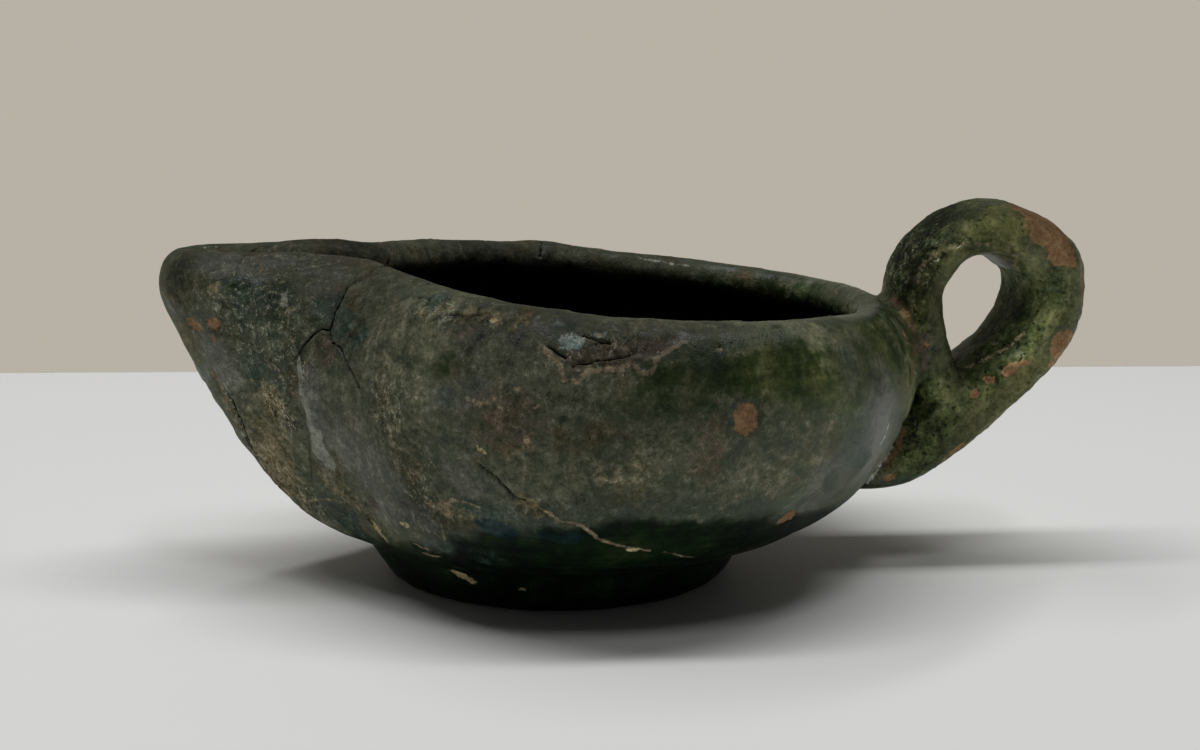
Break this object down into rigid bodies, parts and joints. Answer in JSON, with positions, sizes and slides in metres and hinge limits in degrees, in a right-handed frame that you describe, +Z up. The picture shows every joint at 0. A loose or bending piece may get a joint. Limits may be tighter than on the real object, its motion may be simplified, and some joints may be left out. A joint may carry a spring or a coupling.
{
  "type": "earthenware oil lamp",
  "caption": "Hand-sized earthenware oil lamp in worn green glaze: a round open bowl on a flat foot, its rim pinched into a slotted spout, with a looped strap handle.",
  "frame": {"origin": "centre of the foot's flat underside", "axes": "+X from the foot's centre towards the handle, -X towards the spout, +Z up from the foot's underside"},
  "size_m": [0.125, 0.0816, 0.0495],
  "materials": {
    "glazed_earthenware": "worn dark green glaze over red-brown earthenware, dulled by grey-brown dirt, cracked and chipped"
  },
  "bodies": {
    "root": {"oil_lamp": "glazed_earthenware"}
  },
  "joints": []
}
